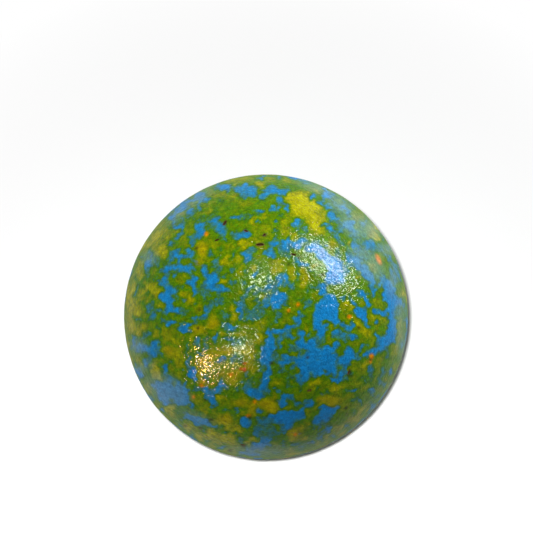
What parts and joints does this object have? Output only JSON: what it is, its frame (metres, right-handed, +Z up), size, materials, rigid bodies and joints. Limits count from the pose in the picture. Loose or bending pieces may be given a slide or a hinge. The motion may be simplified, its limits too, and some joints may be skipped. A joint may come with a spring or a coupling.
{
  "type": "clay marble",
  "caption": "Round fired-clay playing marble with a thin speckled paint coat and a small flat to rest on.",
  "frame": {"origin": "centre of the ball", "axes": "+Z up, with the small flat that the ball rests on facing -Z; the side seen in the picture faces +Z and a little towards -Y"},
  "size_m": [0.016, 0.016, 0.016],
  "materials": {
    "fired_clay": "matt, unglazed, brown fired clay",
    "speckled_paint": "blue ground sponged with green and yellow, varnished, slightly rough gloss"
  },
  "bodies": {
    "root": {"clay_ball": "fired_clay", "paint_coat": "speckled_paint"}
  },
  "joints": []
}
